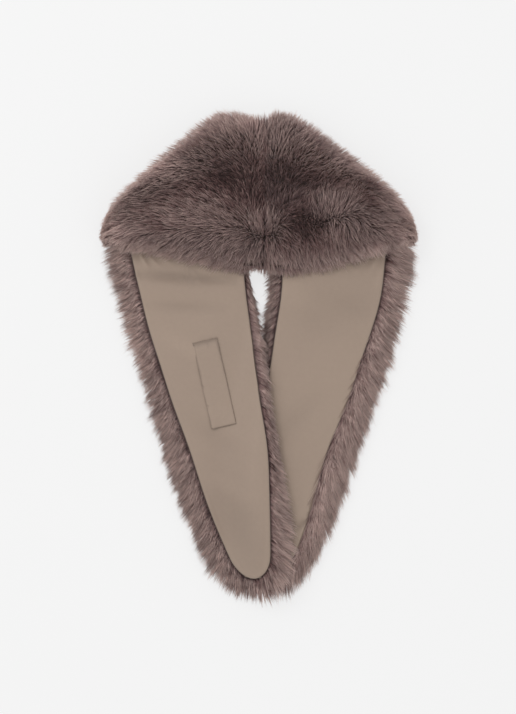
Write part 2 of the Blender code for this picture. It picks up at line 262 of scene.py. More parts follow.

# Soft troughs and ridges of the laid lining: two ends, half width, and rise; the rise also
# sets the painted shade of the folds
CREASES = {
    "lining_left": [
        # pulled across under the hem
        ((-120, 82), (-24, 76), 5.0, -4.2), ((-112, 51), (-34, 47), 5.5, -1.8),
        # gathers at the shoulder fold
        ((-120, 106), (-111, 88), 2.0, 2.2), ((-113, 104), (-100, 90), 2.0, 2.0),
        ((-103, 102), (-86, 92), 2.4, 1.8), ((-92, 100), (-72, 93), 2.6, 1.3),
        # slack down the arm
        ((-96, 20), (-40, -8), 9.0, 1.2), ((-70, -60), (-20, -100), 10.0, -1.2),
        ((-50, -120), (0, -150), 9.0, 1.0), ((-40, -120), (5, -225), 24.0, -3.0),
    ],
    "lining_right": [
        # gathers at the shoulder fold
        ((118, 102), (112, 86), 2.4, 1.6), ((108, 100), (98, 86), 2.4, 1.4),
        ((124, 92), (118, 70), 2.8, 1.2), ((96, 97), (80, 88), 3.0, 1.0),
        # pinched across the tip
        ((27, -167.5), (36, -172.5), 2.4, -3.4), ((36, -172.5), (50, -163.5), 2.6, -3.2),
        # slack down the arm
        ((30, 60), (100, 30), 12.0, 1.2), ((60, -40), (20, -80), 10.0, -1.2),
        ((36, 46), (112, 46), 22.0, -2.8),
    ],
}
CREASE_END_SHARE = 0.35

# Painted shade of the folds on the cloth, with painted light on its ridges: the rise that
# counts as a full fold, and painted shade along the turned edge
FOLD_DEEP = 3.5
RIDGE_MOST = 0.5
EDGE_SHADE_PAINTED = 1.6
PAINTED_EDGE_SHADE_REACH = 0.5
FOLD_PAINTED_SHADE = 0.16

# Pile colour, from root to tip, and how a hair's shade, painted light and shade with its own
# streaks, brightens it; the darkest shade is tinted warmer
PILE_ROOT = (0.095, 0.058, 0.054)
PILE_MIDDLE = (0.225, 0.150, 0.141)
PILE_TIP = (0.480, 0.352, 0.312)
PILE_MIDDLE_AT = 0.55
DARK_SHADE_TINT = (1.30, 0.98, 1.02)
DARK_TINT_FADE = 1.8
SHADE_LEAST, SHADE_GAIN = 0.13, 1.60
PILE_SURFACE = {
    "Roughness": 0.62, "Specular IOR Level": 0.16, "Sheen Weight": 0.12,
    "Sheen Roughness": 0.45,
}

# Knitted backing under the pile
BACKING_STOPS = [(0.3, (0.060, 0.041, 0.037)), (0.7, (0.125, 0.088, 0.080))]
BACKING_GRAIN = {"Scale": 420.0, "Detail": 3.0}
BACKING_SURFACE = {"Roughness": 0.95, "Specular IOR Level": 0.1}
BACKING_BUMP = {"Strength": 0.6, "Distance": 0.001}

# Lining twill: slanted ribs, uneven yarn and broad clouds of tone
TWILL_PITCH = 0.9
TWILL_LEAN_DEG = 58.0
TWILL_STOPS = [(0.2, (0.300, 0.226, 0.178)), (0.8, (0.330, 0.250, 0.194))]
TWILL_YARN = {"Scale": 260.0, "Detail": 3.0}
TWILL_CLOUD = {"Scale": 14.0, "Detail": 2.0}
RIB_TONE, YARN_TONE, CLOUD_TONE, TONE_LOWER = 0.12, 0.5, 0.6, 0.05
RIB_BUMP = 0.5
TWILL_SURFACE = {"Roughness": 0.56, "Specular IOR Level": 0.35, "Sheen Weight": 0.15}
TWILL_BUMP = {"Strength": 0.35, "Distance": 0.00012}

# Coats of hair, as the pile tree's inputs, in metres; the arms' fringe hangs straighter
UNDERFUR = {
    "Seed": 11, "Sections": 2, "Rise": 0.80, "Run": 0.75, "Width": 0.00044,
    "Wisp": 0.0024, "Wisp Pull": 0.40, "Lock": 0.009, "Lock Pull": 0.14,
    "Turn": 0.8, "Stray": 0.004, "Droop": 0.0008, "Loose": 0.15,
}
GUARD_HAIR = {
    "Seed": 23, "Sections": 3, "Rise": 1.03, "Run": 1.0, "Width": 0.00034,
    "Wisp": 0.0026, "Wisp Pull": 0.52, "Lock": 0.008, "Lock Pull": 0.15,
    "Turn": 0.6, "Stray": 0.004, "Droop": 0.0010, "Loose": 0.32,
}
FRINGE = {"Lock": 0.008, "Turn": 0.3, "Stray": 0.003, "Droop": 0.0015, "Root Light": 0.46}
ARM_UNDERFUR = {
    **UNDERFUR, **FRINGE,
    "Rise": 1.0, "Wisp Pull": 0.35, "Lock Pull": 0.10, "Streak": 0.4,
}
ARM_GUARD_HAIR = {
    **GUARD_HAIR, **FRINGE,
    "Sections": 2, "Rise": 1.12, "Width": 0.00038, "Wisp Pull": 0.62, "Lock Pull": 0.12,
    "Streak": 0.75, "Fleck": 0.5,
}

# Fur pieces: their coats with the number of hairs in each, the lining that an arm carries,
# and what the hair may come to lie on
NECK_COATS = {"underfur": (8500, UNDERFUR), "guard_hair": (11500, GUARD_HAIR)}
ARM_COATS = {"underfur": (6500, ARM_UNDERFUR), "guard_hair": (7500, ARM_GUARD_HAIR)}
UNDER_NECK = ["fur_arm_left", "fur_arm_right", "lining_left", "lining_right"]
UNDER_ARM = ["fur_arm_right", "lining_right"]
Fur = namedtuple("Fur", "coats lining lies_over")
FURS = {
    "fur_neck_left": Fur(NECK_COATS, None, UNDER_NECK),
    "fur_neck_right": Fur(NECK_COATS, None, UNDER_NECK),
    "fur_arm_left": Fur(ARM_COATS, "lining_left", UNDER_ARM),
    "fur_arm_right": Fur(ARM_COATS, "lining_right", ["lining_right"]),
}

# Hair in the pile tree; a pair is the least of a factor and what a full share adds to it
HAIR_CORNERS = 3
OWN_TURN = 0.25
LENGTH_VARIES = (0.75, 0.4)
REACH_VARIES = (0.86, 0.22)
LOCK_VARIES = (0.90, 0.20)
GIRTH_VARIES = (0.75, 0.5)
GIRTH_ALONG = (0.5, 2.6)
RISE_BEND = (1.1, 0.6)
WISP_BEND, LOCK_BEND, DROOP_BEND = 1.2, 1.6, 2.0
WAVER_SCALE = 160.0
WAVER_ALONG = 0.006
FACE_LEAN = 0.5
ROOT_END = 0.1
LOCK_STREAK = 0.16
SHADE_RANGE = {"Min": 0.02, "Max": 0.98}
CHART_WIDTH = 0.004
JUST_RIGHT, JUST_ALONG, JUST_UP = (0.00001, 0.0, 0.0), (0.0, 0.00001, 0.0), (0.0, 0.0, 0.00001)

# The pile tree's inputs by kind of socket, each with its value where a coat gives none
PILE_INPUTS = {
    "NodeSocketInt": {"Seed": 1, "Sections": 3},
    "NodeSocketFloat": {
        "Density": 1000.0, "Rise": 1.0, "Run": 1.0, "Width": 0.0005, "Wisp": 0.003,
        "Wisp Pull": 0.6, "Lock": 0.010, "Lock Pull": 0.35, "Turn": 0.5, "Stray": 0.002,
        "Droop": 0.002, "Loose": 0.3, "Root Light": 0.0, "Streak": 0.3, "Fleck": 0.16,
    },
    "NodeSocketObject": {"Envelope": None, "Ground": None},
    "NodeSocketMaterial": {"Material": None},
}

# Fields that the tree reads from a body, and those that it gives each hair while it works
BODY_FIELDS = ["out", "comb", "cover", "loose", "tone"]
HAIR_FIELDS = ["root", "luck", "ring"]


# Node graphs, for shaders and for geometry


class Wire:
    """An output socket; arithmetic on it adds Math or Vector Math nodes."""

    def __init__(self, graph, socket):
        self.graph = graph
        self.socket = socket

    def __add__(self, other):
        return self.graph.maths("ADD", self, other)

    def __radd__(self, other):
        return self.graph.maths("ADD", other, self)

    def __sub__(self, other):
        return self.graph.maths("SUBTRACT", self, other)

    def __rsub__(self, other):
        return self.graph.maths("SUBTRACT", other, self)

    def __mul__(self, other):
        return self.graph.maths("MULTIPLY", self, other)

    def __rmul__(self, other):
        return self.graph.maths("MULTIPLY", other, self)

    def __truediv__(self, other):
        return self.graph.maths("DIVIDE", self, other)

    def __rtruediv__(self, other):
        return self.graph.maths("DIVIDE", other, self)

    def __pow__(self, other):
        return self.graph.maths("POWER", self, other)

    def beside(self, output):
        """Another output of the same node."""
        return Wire(self.graph, self.socket.node.outputs[output])


class Graph:
    """A node tree that is filled by expressions."""

    def __init__(self, tree):
        self.tree = tree

    def add(self, kind, settings=None, inputs=None, output=0):
        """A new node with its settings, then its inputs, and one of its outputs."""
        node = self.tree.nodes.new(kind)
        for name, value in (settings or {}).items():
            if name == "stops":
                self.set_stops(node.color_ramp, value)
            else:
                setattr(node, name, value)
        self.fill(node, inputs or {})
        return Wire(self, node.outputs[output]) if node.outputs else None

    def fill(self, node, inputs):
        for name, value in inputs.items():
            if isinstance(value, Wire):
                self.tree.links.new(value.socket, node.inputs[name])
            else:
                node.inputs[name].default_value = value

    def set_stops(self, ramp, stops):
        while len(ramp.elements) < len(stops):
            ramp.elements.new(MIDDLE)
        for element, (place, colour) in zip(ramp.elements, stops):
            element.position = place
            element.color = (*colour, 1.0)

    def maths(self, operation, first, second):
        wide = [self.is_vector(first), self.is_vector(second)]
        if operation == "MULTIPLY" and wide in ([True, False], [False, True]):
            vector, number = (first, second) if wide[0] else (second, first)
            return self.add("ShaderNodeVectorMath", {"operation": "SCALE"},
                            {0: vector, "Scale": number})
        kind = "ShaderNodeVectorMath" if any(wide) else "ShaderNodeMath"
        return self.add(kind, {"operation": operation}, {0: first, 1: second})

    def is_vector(self, value):
        if isinstance(value, Wire):
            return value.socket.type in ("VECTOR", "RGBA")
        return isinstance(value, (tuple, list))

    def cross(self, first, second):
        return self.maths_of("CROSS_PRODUCT", first, second)

    def unit(self, vector):
        return self.maths_of("NORMALIZE", vector)

    def maths_of(self, operation, *vectors):
        return self.add("ShaderNodeVectorMath", {"operation": operation}, dict(enumerate(vectors)))

    def parts(self, vector):
        across = self.add("ShaderNodeSeparateXYZ", None, {0: vector})
        return across, across.beside(1), across.beside(2)

    def joined(self, x, y, z):
        return self.add("ShaderNodeCombineXYZ", None, {0: x, 1: y, 2: z})

    def painted(self, name):
        return self.add("ShaderNodeAttribute", {"attribute_name": name}, output="Fac")

    def between(self, low, high, share):
        return self.maths("SUBTRACT", high, low) * share + low


# Pile, grown by Geometry Nodes on a fur body


class PileGraph(Graph):
    """A geometry tree, with the steps that the pile repeats."""

    def field(self, name, kind="FLOAT"):
        return self.add("GeometryNodeInputNamedAttribute", {"data_type": kind}, {"Name": name})

    def store(self, geometry, name, value, kind="FLOAT", domain="POINT"):
        return self.add("GeometryNodeStoreNamedAttribute", {"data_type": kind, "domain": domain},
                        {"Geometry": geometry, "Name": name, "Value": value})

    def own_place(self):
        return self.add("GeometryNodeInputPosition")

    def form_of(self, thing):
        return self.add("GeometryNodeObjectInfo", {"transform_space": "ORIGINAL"},
                        {"Object": thing}, output="Geometry")

    def nearest_on(self, form, place):
        return self.add("GeometryNodeSampleNearestSurface", {"data_type": "FLOAT_VECTOR"},
                        {"Mesh": form, "Value": self.own_place(), "Sample Position": place})

    def cells(self, place, size):
        """The middle of the cell that a place is in, and three chances that its hairs share."""
        middle = self.add("ShaderNodeTexVoronoi", None, {"Vector": place, "Scale": 1.0 / size},
                          output="Position")
        return middle, self.parts(middle.beside("Color"))

    def ground_under(self, ground, x, y):
        """Height of the piece that lies under a place, and none over the open floor."""
        hit = self.add("GeometryNodeRaycast", None,
                       {"Target Geometry": ground, "Source Position": self.joined(x, y, HIGH_ABOVE),
                        "Ray Direction": tuple(-UP), "Ray Length": HIGH_ABOVE},
                       output="Hit Position")
        return self.parts(hit)[2] * hit.beside("Is Hit")


class Strand:
    """What the tree knows at each point of a hair; each luck is three chances from 0 to 1."""

    def __init__(self, graph, given):
        self.root, self.out, self.comb, ring, luck = [
            graph.field(name, "FLOAT_VECTOR") for name in ("root", "out", "comb", "ring", "luck")]
        self.along = graph.field("along")
        self.ring_across, self.ring_up, _ = graph.parts(ring)
        self.luck = graph.parts(luck)
        self.wisp, self.wisp_luck = graph.cells(self.root, given["Wisp"])
        self.lock, self.lock_luck = graph.cells(self.root, given["Lock"])


def off_middle(chance):
    """A chance from 0 to 1, as one from -0.5 to 0.5."""
    return chance - MIDDLE


def varied(share, least, more):
    return share * more + least


def rooted_hair(graph, given):
    """Unit cones at random roots on the body, realised so that each point can be placed."""
    place = graph.own_place()
    points = graph.add("GeometryNodeDistributePointsOnFaces", {"distribute_method": "RANDOM"},
                       {"Mesh": given["Body"], "Density": given["Density"] * graph.field("cover"),
                        "Seed": given["Seed"]})
    points = graph.store(points, "root", place, "FLOAT_VECTOR")
    luck = graph.add("FunctionNodeRandomValue", {"data_type": "FLOAT_VECTOR"},
                     {"Min": (0.0, 0.0, 0.0), "Max": (1.0, 1.0, 1.0), "Seed": given["Seed"]})
    points = graph.store(points, "luck", luck, "FLOAT_VECTOR")
    cone = graph.add("GeometryNodeMeshCone", {"fill_type": "NGON"},
                     {"Vertices": HAIR_CORNERS, "Side Segments": given["Sections"],
                      "Radius Top": 0.0, "Radius Bottom": 1.0, "Depth": 1.0})
    cone = graph.store(cone, "along", graph.parts(place)[2])
    cone = graph.store(cone, "ring", place, "FLOAT_VECTOR")
    hair = graph.add("GeometryNodeInstanceOnPoints", None, {"Points": points, "Instance": cone})
    return graph.add("GeometryNodeRealizeInstances", None, {"Geometry": hair})


def hair_line(graph, given, strand):
    """A hair's middle line, laid along the fur and drawn to the middle of its wisp and lock."""
    root, out, along = strand.root, strand.out, strand.along
    turn = off_middle(strand.lock_luck[0]) * given["Turn"] + off_middle(strand.luck[0]) * OWN_TURN
    turned = graph.add("ShaderNodeVectorRotate", {"rotation_type": "AXIS_ANGLE"},
                       {"Vector": strand.comb, "Axis": graph.unit(out + JUST_UP), "Angle": turn})
    waver = graph.add("ShaderNodeTexNoise", {"noise_dimensions": "3D"},
                      {"Vector": root + graph.joined(0.0, 0.0, along * WAVER_ALONG),
                       "Scale": WAVER_SCALE, "Detail": 1.0}, output="Color")
    length = given["Run"] * varied(strand.luck[1], *LENGTH_VARIES)
    drift = turned * (along * length)
    gather = (strand.wisp - root) * (given["Wisp Pull"] * along ** WISP_BEND)
    gather = gather + (strand.lock - root) * (given["Lock Pull"] * along ** LOCK_BEND)
    stray = (waver - (MIDDLE, MIDDLE, MIDDLE)) * (given["Stray"] * along)
    over = root + out + drift + gather + stray

    surface = graph.nearest_on(graph.form_of(given["Envelope"]), over)
    surface = graph.between(surface, over, given["Loose"] * graph.field("loose"))
    upright = graph.parts(graph.unit(out))[2]
    rise = 1.0 - (1.0 - along) ** varied(upright, *RISE_BEND)
    reach = given["Rise"] * rise * varied(strand.luck[2], *REACH_VARIES)
    return graph.between(root, surface, reach * varied(strand.lock_luck[1], *LOCK_VARIES))


def hair_point(graph, given, strand):
    """A hair's points, on the ring round its middle line and never below what is under it."""
    belly = varied(strand.along, *GIRTH_ALONG) * varied(strand.luck[0], *GIRTH_VARIES)
    belly = belly * given["Width"]
    way = strand.comb + strand.out * FACE_LEAN
    side = graph.unit(graph.cross(strand.out + JUST_UP, strand.comb + JUST_RIGHT))
    upper = graph.unit(graph.cross(side, way + JUST_ALONG))
    girth = side * (strand.ring_across * belly) + upper * (strand.ring_up * belly)
    droop = graph.joined(0.0, 0.0, strand.along ** DROOP_BEND * given["Droop"])
    x, y, z = graph.parts(hair_line(graph, given, strand) + girth - droop)
    past_root = graph.maths("GREATER_THAN", strand.along, ROOT_END)
    ground = graph.ground_under(graph.form_of(given["Ground"]), x, y) * past_root
    z = graph.maths("MAXIMUM", z, ground + strand.ring_up * belly + given["Width"])
    return graph.joined(x, y, z)


def shaded_hair(graph, given, strand, hair):
    """Hair with its shade, its way from root to tip, and both as a chart named OFBake."""
    # The body's tone is painted light and shade; the streaks and flecks are the fur's own uneven
    # colour
    shade = graph.field("tone") + off_middle(strand.wisp_luck[0]) * given["Streak"]
    shade = shade + off_middle(strand.lock_luck[2]) * LOCK_STREAK
    shade = shade + off_middle(strand.luck[1]) * given["Fleck"]
    shade = graph.add("ShaderNodeClamp", None, {"Value": shade, **SHADE_RANGE})
    hair = graph.store(hair, "shade", shade)
    hair = graph.store(hair, "along", graph.between(given["Root Light"], 1.0, strand.along))
    across = graph.field("shade") + strand.ring_across * CHART_WIDTH
    chart = graph.joined(across, graph.field("along"), 0.0)
    return graph.store(hair, "OFBake", chart, "FLOAT2", "CORNER")


def pile_tree():
    """Hair rooted over a fur body, laid along it and gathered into wisps and locks."""
    tree = bpy.data.node_groups.new("pile", "GeometryNodeTree")
    tree.interface.new_socket("Body", in_out="INPUT", socket_type="NodeSocketGeometry")
    for kind, inputs in PILE_INPUTS.items():
        for name, value in inputs.items():
            socket = tree.interface.new_socket(name, in_out="INPUT", socket_type=kind)
            if value is not None:
                socket.default_value = value
    tree.interface.new_socket("Hair", in_out="OUTPUT", socket_type="NodeSocketGeometry")

    graph = PileGraph(tree)
    body = graph.add("NodeGroupInput")
    given = {socket.name: Wire(graph, socket) for socket in body.socket.node.outputs}
    strand = Strand(graph, given)
    hair = rooted_hair(graph, given)
    hair = graph.add("GeometryNodeSetPosition", None,
                     {"Geometry": hair, "Position": hair_point(graph, given, strand)})
    hair = shaded_hair(graph, given, strand, hair)
    for name in BODY_FIELDS + HAIR_FIELDS:
        hair = graph.add("GeometryNodeRemoveAttribute", None, {"Geometry": hair, "Name": name})
    hair = graph.add("GeometryNodeSetShadeSmooth", None, {"Geometry": hair, "Shade Smooth": True})
    hair = graph.add("GeometryNodeSetMaterial", None,
                     {"Geometry": hair, "Material": given["Material"]})
    graph.add("NodeGroupOutput", None, {"Hair": hair})
    return tree


def grow_pile(body, envelope, ground, tree, name, count, coat, material):
    """One coat of hair on a fur body, as a plain mesh."""
    carrier = plain_object(name + "_carrier", body.data)
    modifier = carrier.modifiers.new("Pile", "NODES")
    modifier.node_group = tree
    sockets = {item.name: item.identifier for item in tree.interface.items_tree}
    values = dict(coat, Density=count / covered_area(body.data), Envelope=envelope,
                  Ground=ground, Material=material)
    for input_name, value in values.items():
        modifier[sockets[input_name]] = value
    hair = settled(carrier, name)
    bpy.data.objects.remove(carrier)
    return hair


def covered_area(mesh):
    cover = np.zeros(len(mesh.vertices), np.float32)
    mesh.attributes["cover"].data.foreach_get("value", cover)
    return sum(face.area * cover[list(face.vertices)].mean() for face in mesh.polygons)


# Meshes and the numbers at their points


def plain_object(name, data):
    thing = bpy.data.objects.new(name, data)
    bpy.context.scene.collection.objects.link(thing)
    return thing


def settled(thing, name):
    """The evaluated mesh of an object as a plain object of its own."""
    now = bpy.context.evaluated_depsgraph_get()
    mesh = bpy.data.meshes.new_from_object(
        thing.evaluated_get(now), preserve_all_data_layers=True, depsgraph=now)
    mesh.name = name
    return plain_object(name, mesh)


def mesh_from(bm, name):
    mesh = bpy.data.meshes.new(name)
    bm.to_mesh(mesh)
    bm.free()
    return mesh


def meshes_in_one(meshes, name):
    bm = bmesh.new()
    for mesh in meshes:
        bm.from_mesh(mesh)
    return mesh_from(bm, name)


def welded(node):
    """A node's solid, its loose triangles joined at their corners."""
    bm = bmesh.new()
    bm.from_mesh(frame["nodes"][node].data)
    bmesh.ops.remove_doubles(bm, verts=bm.verts, dist=WELD)
    return bm


def pair_triangles(bm, shape_deg):
    """Four-sided faces where two triangles allow."""
    bmesh.ops.join_triangles(
        bm, faces=bm.faces, cmp_seam=False, cmp_sharp=False,
        angle_face_threshold=math.radians(PAIR_FACE_DEG),
        angle_shape_threshold=math.radians(shape_deg))


def subdivided(mesh, name, levels, at_edges="ALL"):
    rough = plain_object(name + "_rough", mesh)
    smoother = rough.modifiers.new("Smooth", "SUBSURF")
    smoother.levels = smoother.render_levels = levels
    smoother.boundary_smooth = at_edges
    smooth = settled(rough, name)
    bpy.data.objects.remove(rough)
    return smooth


def clothe(thing, material):
    thing.data.materials.clear()
    thing.data.materials.append(material)
    thing.data.shade_smooth()


def write_field(mesh, name, values):
    wide = values.ndim == 2
    attribute = mesh.attributes.new(name, "FLOAT_VECTOR" if wide else "FLOAT", "POINT")
    attribute.data.foreach_set("vector" if wide else "value", values.astype(np.float32).ravel())


def points_of(mesh):
    values = np.zeros(len(mesh.vertices) * 3, np.float32)
    mesh.vertices.foreach_get("co", values)
    return values.reshape(-1, 3).astype(float)


def move_points(mesh, places):
    mesh.vertices.foreach_set("co", places.astype(np.float32).ravel())
    mesh.update()


def halfway_to_neighbours(mesh, values):
    """Values at the points, each half-way to the mean of those round it."""
    total, count = np.zeros_like(values), np.zeros(len(values))
    for edge in mesh.edges:
        start, end = edge.vertices
        total[start] += values[end]
        total[end] += values[start]
        count[start] += 1
        count[end] += 1
    return (values + total / np.maximum(count, 1)[:, None]) / 2


def rays_into(meshes):
    """Meshes as one tree for rays."""
    corners, faces = [], []
    for mesh in meshes:
        start = len(corners)
        corners += [vertex.co.copy() for vertex in mesh.vertices]
        faces += [[start + corner for corner in face.vertices] for face in mesh.polygons]
    return BVHTree.FromPolygons(corners, faces)


def seen_from_above(places):
    """A finder of the nearest of some places and how far off it is, as seen from above."""
    tree = KDTree(len(places))
    for index, place in enumerate(places):
        tree.insert((place[0], place[1], 0.0), index)
    tree.balance()
    return lambda place: tree.find((place[0], place[1], 0.0))


def smoothstep(t):
    t = np.clip(t, 0.0, 1.0)
    return t * t * (3.0 - 2.0 * t)


def laid_on(normals, way, share):
    """Directions with a share of what points off the surface taken out."""
    return way - normals * (share * np.sum(way * normals, axis=1))[:, None]


def rim_of(normals):
    """One on upright sides, none where the surface is level."""
    return 1.0 - np.abs(normals[:, 2])


def at_corner(places):
    """One at the two shoulder corners, none further in."""
    return smoothstep((np.abs(places[:, 0]) / MM - CORNER_FROM) / CORNER_RUN)


# Painted light and shade on the fur, summed from the patches
def painted_light_and_shade_at(places):
    tone = np.full(len(places), MIDDLE)
    for x, y, reach_x, reach_y, lighter in LIGHT_AND_SHADE_PATCHES:
        apart = ((places[:, 0] / MM - x) / reach_x) ** 2 + ((places[:, 1] / MM - y) / reach_y) ** 2
        tone += lighter * np.exp(-apart)
    return tone


# Fur bodies: the backing under the pile, worked out from a node's solid


def smooth_body(node, name):
    bm = welded(node)
    creased = bm.edges.layers.float.new("crease_edge")
    for edge in bm.edges:
        if len(edge.link_faces) == 2 and edge.calc_face_angle() > math.radians(CREASE_DEG):
            edge[creased] = 1.0
    pair_triangles(bm, BODY_PAIR_SHAPE_DEG)
    return subdivided(mesh_from(bm, node + "_form"), name, BODY_LEVELS)


def draw_in(mesh):
    """The neck's sides and shoulder corners, drawn in by what loose hair adds to them,
    and its crests rounded."""
    places = points_of(mesh)
    normals = np.array([vertex.normal for vertex in mesh.vertices])
    off_seam = np.abs(places[:, 0] / MM - SEAM_X) > SEAM_CLEAR
    upper = off_seam & (places[:, 2] > UNDERSIDE_TOP * MM) & (normals[:, 2] > 0.0)
    for _ in range(CREST_ROUNDS):
        places[upper, 2] = halfway_to_neighbours(mesh, places)[upper, 2]
    normals[:, 2] = 0.0
    flat = np.linalg.norm(normals, axis=1)
    flat *= np.sum(normals * (places - np.array(NECK_MIDDLE) * MM), axis=1) > 0.0
    shift = normals * (flat * RIM_IN * MM)[:, None]
    shift[:, 0] *= off_seam
    places -= shift
    beyond = np.maximum(np.abs(places[:, 0]) - CORNER_FROM * MM, 0.0)
    places[:, 0] -= np.sign(places[:, 0]) * beyond * CORNER_IN
    move_points(mesh, places)


def fur_envelopes():
    """The surface that the hair reaches to, for each fur node; the neck halves share one."""
    envelopes = {node: smooth_body(node, node + "_envelope") for node in FURS}
    necks = [node for node, fur in FURS.items() if fur.lining is None]
    halves = [envelopes[node].data for node in necks]
    for half in halves:
        draw_in(half)
    whole = plain_object("neck_envelope", meshes_in_one(halves, "neck_envelope"))
    envelopes.update(dict.fromkeys(necks, whole))
    return envelopes


def bare_faces(mesh, others):
    """Faces that carry no hair, each 'under', 'seam' or 'joint', by face index."""
    bare = {}
    for face in mesh.polygons:
        if face.normal.z < UNDERSIDE_FACING and face.center.z < UNDERSIDE_TOP * MM:
            bare[face.index] = "under"
            continue
        hit = others.ray_cast(face.center + face.normal * (RAY_LIFT * MM), face.normal,
                              NEIGHBOUR_REACH * MM)[0]
        if hit is not None:
            bare[face.index] = "seam" if abs(face.normal.x) > SEAM_FACING else "joint"
    return bare


def haired_normals(mesh, bare):
    """At each point the normal of the haired faces round it, the kinds of bare faces that
    it touches, and the haired share."""
    normals = np.zeros((len(mesh.vertices), 3))
    kinds = [set() for _ in mesh.vertices]
    haired, whole = np.zeros(len(mesh.vertices)), np.zeros(len(mesh.vertices))
    for face in mesh.polygons:
        corners = list(face.vertices)
        whole[corners] += face.area
        if face.index in bare:
            for corner in corners:
                kinds[corner].add(bare[face.index])
        else:
            haired[corners] += face.area
            normals[corners] += np.array(face.normal) * face.area
    lengths = np.linalg.norm(normals, axis=1)
    normals[lengths > 0] /= lengths[lengths > 0][:, None]
    return normals, kinds, haired / np.maximum(whole, TINY_AREA)


def corner_areas(mesh):
    areas = np.zeros(len(mesh.vertices))
    for face in mesh.polygons:
        areas[list(face.vertices)] += face.area
    return areas


def spread_of(mesh, inner):
    """How much wider the envelope is than the backing, at each point."""
    shrunk = mesh.copy()
    move_points(shrunk, inner)
    ratio = corner_areas(mesh) / np.maximum(corner_areas(shrunk), TINY)
    bpy.data.meshes.remove(shrunk)
    return np.clip(ratio, 1.0, SPREAD_MOST)


def neck_insets(mesh, normals, kinds):
    """How far each point of the neck's envelope moves in to the backing."""
    places = points_of(mesh)
    inset = -normals * np.array([NECK_PILE_SIDE, NECK_PILE_SIDE, NECK_PILE_TOP]) * MM
    own = rays_into([mesh])
    for index, shift in enumerate(inset):
        length = np.linalg.norm(shift)
        if length > 0:
            way = Vector(shift / length)
            room = own.ray_cast(Vector(places[index]) + way * (RAY_DEPTH * MM), way)[3]
            if room is not None:
                inset[index] *= min(1.0, PILE_SHARE_OF_BODY * room / length)

    fixed, at_seam, at_under = [np.array([kind in touched for touched in kinds])
                                for kind in ("joint", "seam", "under")]
    for _ in range(INSET_ROUNDS):
        inset = halfway_to_neighbours(mesh, inset)
        inset[fixed, 2] = 0.0
        inset[at_seam, 0] = SEAM_X * MM - places[at_seam, 0]
        inset[at_under, 2] = 0.0

    corner = np.abs(places[:, 0]) > CORNER_FROM * MM
    side = np.sign(places[corner, 0])
    least = -CORNER_BACK * MM * at_corner(places[corner])
    inset[corner, 0] = np.minimum(inset[corner, 0] * side, least) * side
    upper = ~fixed & (normals[:, 2] > CORNER_TOP_FACING)
    inset[upper, 2] -= CORNER_LOWER * MM * at_corner(places[upper])
    return inset


def near_hem(places, kinds):
    """One over the hem where the neck lies on the arms, none further up."""
    resting = seen_from_above([place for place, kind in zip(places, kinds) if "joint" in kind])
    apart = np.array([resting(place)[2] for place in places])
    return smoothstep(1.0 - apart / (HEM_REACH * MM))


def neck_combing(node, places, normals, hem):
    """The way that the neck's hair runs and how far, and how well the guides agree on it."""
    guides = np.array(GUIDES[node], float)
    apart = np.linalg.norm(places[:, None, :2] / MM - guides[None, :, :2], axis=2)
    weights = 1.0 / (apart + GUIDE_BLEND) ** GUIDE_FALLOFF
    angle = np.radians(guides[:, 2])
    way = np.stack([weights @ np.cos(angle), weights @ np.sin(angle)], axis=1)
    strength = np.linalg.norm(way, axis=1)
    way /= strength[:, None]
    agreed = smoothstep(strength / weights.sum(axis=1) / AGREED_AT)
    way = np.hstack([way, np.zeros((len(way), 1))])
    longer = smoothstep(painted_light_and_shade_at(places) * LIGHT_LONGER)
    length = NECK_COMB_SHORT + (NECK_COMB - NECK_COMB_SHORT) * longer
    length *= agreed * (1.0 - CORNER_SHORTER * at_corner(places))
    share = 1.0 - RIM_LIFT * rim_of(normals) * (1.0 + hem)
    return laid_on(normals, way, share) * length[:, None] * MM, agreed


def neck_pile(node, mesh, bare):
    """The fields of a neck half: its insets, combing, cover and looseness."""
    envelope = points_of(mesh)
    normals, kinds, haired = haired_normals(mesh, bare)
    inset = neck_insets(mesh, normals, kinds)
    hem = near_hem(envelope, kinds) * (1.0 - np.abs(normals[:, 0]))
    comb, agreed = neck_combing(node, envelope, normals, hem)
    corner, rim = at_corner(envelope), rim_of(normals)
    fuller = CORNER_FULLER * corner + PARTING_FULLER * (1.0 - agreed)
    cover = haired * spread_of(mesh, envelope + inset) * (1.0 + fuller + HEM_FULLER * hem)
    seam = np.exp(-((envelope[:, 0] / MM - SEAM_X) / SEAM_BAND) ** 2) * (1.0 - rim)
    looser = HEM_LOOSER * hem + SEAM_LOOSER * seam + RIM_LOOSER * rim ** 2
    return inset, comb, cover, 1.0 + looser * (1.0 - CORNER_FIRMER * corner)


def arm_insets(mesh, lining):
    """How far each point of an arm's fringe moves in towards the lining's edge, and its
    top under the lining down."""
    nearest_edge = seen_from_above(outline_of(upper_sheet(lining, FRINGE_EDGE_LEVELS).data))
    cover = rays_into([frame["nodes"][lining].data])
    inset = np.zeros((len(mesh.vertices), 3))
    for index, place in enumerate(points_of(mesh)):
        if cover.ray_cast(Vector((place[0], place[1], HIGH_ABOVE)), -UP)[0] is None:
            near = nearest_edge(place)[0]
            step = np.array([near.x - place[0], near.y - place[1], 0.0]) * ARM_PILE_SHARE
            length = np.linalg.norm(step)
            inset[index] = step * min(1.0, ARM_PILE_MOST * MM / max(length, TINY))
        elif place[2] > ARM_TOP_ABOVE * MM:
            inset[index, 2] = min(0.0, crease_rise(place, CREASES[lining])) - UNDER_LINING * MM
    return inset


